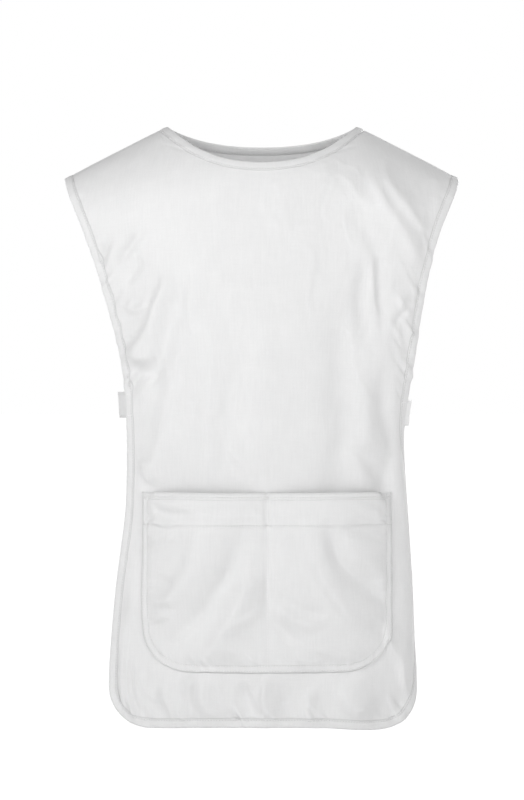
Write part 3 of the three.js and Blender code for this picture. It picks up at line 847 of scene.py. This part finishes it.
def cloth_finish(name, uv_name, tones, lines):
    """Woven white cloth, with painted shade along its lines of sewing.

    Each line is what it follows, its place along that, its half width and its strength.
    """
    light, shade = tones
    finish = Finish(name)
    place = finish.texture_place(uv_name)
    slubs = finish.noise(finish.stretched(place, (480, 34, 1)), 1.0, 3.0)
    picks = finish.noise(finish.stretched(place, (40, 560, 1)), 1.0, 2.0)
    grain = finish.noise(place, 520.0, 2.0)
    clouds = finish.noise(place, 26.0, 3.0)
    tone = (slubs - 0.5) * 0.7 + (picks - 0.5) * 0.35
    tone = tone + (clouds - 0.5) * 0.6 + (grain - 0.5) * 0.3 + 0.6
    colour = finish.mix(tone.math("MAXIMUM", 0.0).math("MINIMUM", 1.0), shade, light)
    weave = woven_height(finish, place)
    # Painted shade in the weave's hollows: where the threads lie low the colour is darker
    weave_shade = tuple(0.94 * value for value in shade[:3]) + (1,)
    colour = finish.mix(weave * 0.4 + 0.6, weave_shade, colour)
    creases = finish.noise(finish.texture_place("Object"), 55.0, 3.0)
    relief = finish.bump(creases, 0.8 * MM, 0.5)
    relief = finish.bump(slubs * 0.6 + picks * 0.4, 0.25 * MM, 0.7, relief)
    for along, row, half, strong in lines:
        off = (line_place(finish, along) - row) * (1 / half)
        line = 1 - (off * off).math("MINIMUM", 1.0)
        # Painted shade along each line: the shadow in the sewing's groove, and on the panels the
        # binding edge's shadow on the cloth
        colour = finish.mix(line * strong, colour, SEAM_SHADE_TONE)
        relief = finish.bump(1 - line, 0.5 * MM, 0.6, relief)
    finish.set(
        Base_Color=colour,
        Roughness=clouds * 0.16 + CLOTH_ROUGHNESS,
        Normal=finish.bump(weave, 0.06 * MM, 0.5, relief),
        Sheen_Weight=0.10,
        Sheen_Roughness=0.4,
        Specular_IOR_Level=0.5,
    )
    return finish.material


def part_of(finish, vector, index):
    parts = finish.nodes.new("ShaderNodeSeparateXYZ")
    finish.feed(parts.inputs[0], vector)
    return Value(finish, parts.outputs[index])


def line_place(finish, along):
    """What a line of sewing follows: the distance from the edge, a height, or the tape's width."""
    if along == "inset":
        return finish.add("ShaderNodeAttribute", {"attribute_name": "inset"}, output=2)
    if along == "tape":
        return part_of(finish, finish.texture_place("tape"), 1)
    return part_of(finish, finish.texture_place("Object"), 2)


def thread_finish():
    finish = Finish("white_thread")
    place = finish.texture_place("Object")
    twist = finish.noise(place, 2500.0, 1.0)
    colour = finish.mix(twist, (0.80, 0.80, 0.80, 1), (0.94, 0.94, 0.94, 1))
    finish.set(
        Base_Color=colour, Roughness=twist * 0.1 + 0.45, Normal=finish.bump(twist, 0.05 * MM, 0.4),
    )
    return finish.material


def stud_finish():
    finish = Finish("white_stud")
    specks = finish.noise(finish.texture_place("Object"), 900.0, 2.0)
    colour = finish.mix(specks, (0.80, 0.80, 0.79, 1), (0.86, 0.86, 0.85, 1))
    finish.set(
        Base_Color=colour, Roughness=specks * 0.12 + 0.3, Normal=finish.bump(specks, 0.03 * MM, 0.4),
    )
    return finish.material


def floor_finish():
    finish = Finish("pale_floor")
    place = finish.texture_place("Object")
    mottle = finish.noise(place, 1.5, 3.0)
    colour = finish.mix(mottle, (0.88, 0.88, 0.88, 1), (0.91, 0.91, 0.91, 1))
    # Painted light: the floor glows, not at all within 0.8 m of the spot under the apron and up to
    # 0.8 by 4.5 m, so the far floor reads white and lights the apron from below
    away = finish.add("ShaderNodeVectorMath", {"operation": "LENGTH"}, {0: place}, output=1)
    far = finish.add("ShaderNodeMapRange", {"interpolation_type": "SMOOTHSTEP"}, {
        "Value": away, "From Min": 0.8, "From Max": 4.5,
    })
    painted_glow = finish.mix(far, (0, 0, 0, 1), (0.8, 0.8, 0.8, 1))
    finish.set(Base_Color=colour, Roughness=0.9, Emission_Color=painted_glow, Emission_Strength=1.0)
    return finish.material


# Pieces

def give(piece, body_slot, material, *nodes):
    piece.data.materials.clear()
    piece.data.materials.append(material)
    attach(piece, "root")
    if nodes:
        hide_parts(*nodes)


def thicken(piece, thickness):
    apply_modifier(piece, "SOLIDIFY", thickness=thickness, offset=-1, use_even_offset=False)
    piece.data.shade_smooth()


def sew_down(pocket, ground):
    """Lays the pocket's sewn edges and middle seam close on the panel, and its bag outside it."""
    mesh = pocket.data
    low, high = (Vector(corner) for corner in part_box("pocket"))
    middle, half = (low.x + high.x) / 2, (high.x - low.x) / 2
    points = coordinates(mesh)
    edge = points[edge_loop(mesh)]
    mouth = (edge[:, 2] > high.z - 4 * MM) & (np.abs(edge[:, 0] - middle) < half - 6 * MM)
    sewn = edge[~mouth]
    from_seam = np.minimum(edge_distances(points, sewn), 2.6 * np.abs(points[:, 0] - middle))
    pull = smooth_step(16 * MM, 2 * MM, from_seam)
    gathers = pucker_heights(points, from_seam, SEAM_GATHERS, 83.0)
    least = DOUBLE_CLOTH + POCKET_GAP
    for i in range(len(points)):
        place, normal = ground.near(points[i])
        down = np.array(place + normal * least)
        spare = (Vector(points[i]) - place).dot(normal) - least
        rise = 0.5 * (math.hypot(spare, 1.2 * MM) - spare)
        out = rise * (1 - pull[i]) + abs(gathers[i])
        points[i] += (down - points[i]) * pull[i] + np.array(normal) * out
    set_coordinates(mesh, points)


def pocket_rows(surface):
    """The rows of sewing round the pocket's edge, down its middle and along its hem."""
    low, high = (Vector(corner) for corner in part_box("pocket"))
    edge = surface.points[surface.loop]
    top = edge[edge[:, 2] > edge[:, 2].max() - 6 * MM]
    corners = top[np.argmin(top[:, 0])], top[np.argmax(top[:, 0])]
    foot = edge[np.argmin(edge[:, 2])]
    seam = spaced(*surface.edge_run(*corners, foot), BINDING_STEP)
    middle_x = (low.x + high.x) / 2
    heights = np.arange(high.z - 2 * MM, low.z + 3 * MM, -3 * MM)
    middle = laid_row(surface, [(middle_x, z) for z in heights])
    widths = np.arange(low.x + 3 * MM, high.x - 3 * MM, 3 * MM)
    tops = [
        laid_row(surface, [(x, high.z - down) for x in widths])
        for down in (POCKET_TOP_ROW, POCKET_HEM_ROW)
    ]
    edges = [offset_row(surface, seam, inset) for inset in POCKET_EDGE_ROWS]
    return [*edges, middle, *tops]


def pocket_tacks(surface):
    """Bar tacks at the corners and the middle of the pocket's mouth: short rows of dense thread."""
    low, high = (Vector(corner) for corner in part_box("pocket"))
    rows = []
    for x in (low.x + 4 * MM, (low.x + high.x) / 2, high.x - 4 * MM):
        for step in range(8):
            z = high.z - (2.0 + 1.0 * step) * MM
            across = [x - 1.6 * MM, x, x + 1.6 * MM]
            row = laid_row(surface, [(place, z) for place in across], TACK_LIFT)
            if len(row[0]) == len(across):
                rows.append(row)
    return rows


def strap_box(tape, panel, tab):
    """The box of sewing that holds a strap under the front binding."""
    low, high = (Vector(corner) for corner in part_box(tab))
    sign = 1 if low.x > 0 else -1
    edge = panel.points[panel.loop]
    beside = (edge[:, 2] < low.z + 80 * MM) & (edge[:, 2] > low.z - 50 * MM)
    edge = edge[(edge[:, 0] * sign > 0) & beside]
    heights = np.linspace(low.z + 3 * MM, high.z - 3 * MM, 12)
    sides = [[], []]
    for z in heights:
        near_x = edge[np.argmin(np.abs(edge[:, 2] - z)), 0]
        for side, inset in zip(sides, STRAP_BOX_INSETS):
            side.append((near_x - sign * inset, z))
    lines = [sides[0], sides[1], [sides[0][0], sides[1][0]], [sides[0][-1], sides[1][-1]]]
    return [laid_row(tape, line) for line in lines]


def make_stud(name, node, surface):
    """A press stud's cap on its tab, with a flat rim and a domed middle."""
    low, high = (Vector(corner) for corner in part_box(node))
    centre = (low + high) / 2
    place, normal = surface.near(centre)
    turn = normal.to_track_quat("Z", "Y").to_euler()
    bpy.ops.mesh.primitive_cylinder_add(
        vertices=48, radius=STUD_RADIUS * MM, depth=STUD_HEIGHT * MM,
        location=place + normal * STUD_HEIGHT / 2 * MM, rotation=turn,
    )
    cap = bpy.context.object
    cap.name = name
    bpy.ops.object.transform_apply(location=True, rotation=True, scale=True)
    select_facing(cap, normal, 0.99)
    for inset, rise in STUD_RINGS:
        bpy.ops.mesh.inset(thickness=inset * MM, depth=rise * MM)
    bpy.ops.object.mode_set(mode="OBJECT")
    apply_modifier(
        cap, "BEVEL",
        width=0.35 * MM, segments=3, limit_method="ANGLE", angle_limit=math.radians(40),
    )
    pick(cap)
    bpy.ops.object.shade_smooth_by_angle(angle=math.radians(50))
    return cap


def select_facing(piece, direction, least):
    """Selects the faces that look one way, in edit mode."""
    pick(piece)
    bpy.ops.object.mode_set(mode="OBJECT")
    for face in piece.data.polygons:
        face.select = face.normal.dot(direction) > least
    for edge in piece.data.edges:
        edge.select = False
    for vertex in piece.data.vertices:
        vertex.select = False
    bpy.ops.object.mode_set(mode="EDIT")
    bpy.ops.mesh.select_mode(type="FACE")


def make_apron():
    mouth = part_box("pocket")[1][2]
    hem_rows = [mouth - down for down in (POCKET_TOP_ROW, POCKET_HEM_ROW)]
    # The lines of these finishes are painted shade: along the rows of sewing, and on the panels just
    # past the binding's inner edge
    cloth = cloth_finish("white_cloth", "UVMap", CLOTH_TONES, [
        ("inset", BINDING_WIDTH + 0.5 * MM, SEAM_HALF_WIDTH, 0.32),
    ])
    pocket_cloth = cloth_finish("pocket_cloth", "UVMap", CLOTH_TONES, [
        *(("inset", inset, ROW_HALF_WIDTH, 0.1) for inset in POCKET_EDGE_ROWS),
        *(("height", height, ROW_HALF_WIDTH, 0.09) for height in hem_rows),
    ])
    strap_cloth = cloth_finish("strap_cloth", "UVMap", CLOTH_TONES, [
        ("inset", TAB_EDGE_ROW, ROW_HALF_WIDTH, 0.2),
    ])
    tape = cloth_finish("white_tape", "tape", TAPE_TONES, [
        ("tape", row, SEAM_HALF_WIDTH, 0.38) for row in binding_seams()
    ])
    thread = thread_finish()

    front = outer_side("front_panel", FRONT, "front_cloth")
    back = outer_side("back_panel", BACK, "back_cloth")
    pocket = outer_side("pocket", FRONT, "pocket_cloth")
    drape(front, FRONT_FOLDS, FRONT_PUCKERS, 3.1)
    drape(back, BACK_FOLDS, BACK_PUCKERS, 17.4)
    drape(pocket, POCKET_FOLDS, POCKET_PUCKERS, 41.7, 0.8, mouth - POCKET_HEM_ROW)
    surfaces = [Surface(front), Surface(back)]
    sew_down(pocket, surfaces[0])

    front_runs, back_runs = (panel_runs(surface) for surface in surfaces)
    bindings = []
    for name, which, node in (("edge_tape", 0, "edge_binding"), ("neck_tape", 1, "neck_binding")):
        back_run = [values[::-1] for values in back_runs[which]]
        binding, rows = make_binding(name, [front_runs[which], back_run], surfaces)
        give(binding, "tape", tape, node)
        stitches = make_stitches(name + "_stitches", rows, closed=True)
        give(stitches, "tape", thread)
        bindings += [binding, stitches]
    edge_tape = Surface(bindings[0], open_edge=False)
    boxes = [row for tab in TABS for row in strap_box(edge_tape, surfaces[0], tab)]
    box_stitches = make_stitches("strap_box_stitches", boxes, pitch=BOX_PITCH)
    give(box_stitches, "tape", thread)
    bindings.append(box_stitches)

    pocket_surface = Surface(pocket)
    seams = make_stitches("pocket_stitches", pocket_rows(pocket_surface))
    tacks = make_stitches("pocket_tacks", pocket_tacks(pocket_surface), pitch=TACK_PITCH)
    give(seams, "tape", thread)
    give(tacks, "tape", thread)

    for sheet, node, thickness, finish in (
        (front, "front_panel", CLOTH, cloth),
        (back, "back_panel", CLOTH, cloth),
        (pocket, "pocket", DOUBLE_CLOTH, pocket_cloth),
    ):
        thicken(sheet, thickness)
        give(sheet, "cloth", finish, node)

    for side, outwards in (("left", Vector((-1, 0, 0))), ("right", Vector((1, 0, 0)))):
        node = f"side_tab_{side}"
        tab = outer_side(node, outwards, f"tab_{side}_cloth")
        drape(tab, [], [], 60.0, 0.1)
        tab_surface = Surface(tab)
        stud = make_stud(f"stud_{side}", f"press_stud_{side}", tab_surface)
        give(stud, "stud", stud_finish(), f"press_stud_{side}")
        edge = np.array(tab_surface.loop + tab_surface.loop[:1])
        ring = spaced(tab_surface.points[edge], tab_surface.normals[edge], BINDING_STEP)
        row = offset_row(tab_surface, ring, TAB_EDGE_ROW)
        stitches = make_stitches(f"tab_{side}_stitches", [row])
        give(stitches, "tape", thread)
        thicken(tab, DOUBLE_CLOTH)
        give(tab, "cloth", strap_cloth, node)


# Studio

def make_studio():
    camera = bpy.data.objects.new("camera", bpy.data.cameras.new("camera"))
    bpy.context.scene.collection.objects.link(camera)
    camera.location = (0, -CAMERA_DISTANCE, CAMERA_HEIGHT)
    camera.rotation_euler = Euler((math.pi / 2, 0, 0))
    camera.data.sensor_width = SENSOR
    camera.data.lens = SENSOR * CAMERA_DISTANCE / PICTURE_HEIGHT
    camera.data.clip_end = 500
    bpy.context.scene.camera = camera

    bpy.ops.mesh.primitive_plane_add(size=400, location=(0, 0, FLOOR_HEIGHT))
    floor = bpy.context.object
    floor.name = "floor"
    floor.data.materials.append(floor_finish())

    middle = Vector((0, 0, CAMERA_HEIGHT))
    for name, place, size, power in LAMPS:
        lamp = bpy.data.lights.new(name, "AREA")
        lamp.size = size
        lamp.energy = power
        light = bpy.data.objects.new(name, lamp)
        bpy.context.scene.collection.objects.link(light)
        light.location = place
        light.rotation_euler = (middle - Vector(place)).to_track_quat("-Z", "Y").to_euler()

    world = bpy.data.worlds.new("studio")
    bpy.context.scene.world = world
    world.use_nodes = True
    nodes, links = world.node_tree.nodes, world.node_tree.links
    background = nodes["Background"]
    background.inputs["Color"].default_value = (1, 1, 1, 1)
    facing = nodes.new("ShaderNodeTexCoord")
    height = nodes.new("ShaderNodeSeparateXYZ")
    dimming = nodes.new("ShaderNodeMapRange")
    for key, value in AMBIENT.items():
        dimming.inputs[key].default_value = value
    links.new(facing.outputs["Generated"], height.inputs[0])
    links.new(height.outputs["Z"], dimming.inputs["Value"])
    links.new(dimming.outputs[0], background.inputs["Strength"])
    backdrop = nodes.new("ShaderNodeBackground")
    backdrop.inputs["Color"].default_value = (1, 1, 1, 1)
    rays = nodes.new("ShaderNodeLightPath")
    either = nodes.new("ShaderNodeMixShader")
    links.new(rays.outputs["Is Camera Ray"], either.inputs[0])
    links.new(background.outputs[0], either.inputs[1])
    links.new(backdrop.outputs[0], either.inputs[2])
    links.new(either.outputs[0], nodes["World Output"].inputs["Surface"])
    bpy.context.scene.view_settings.view_transform = "Standard"


make_studio()
make_apron()
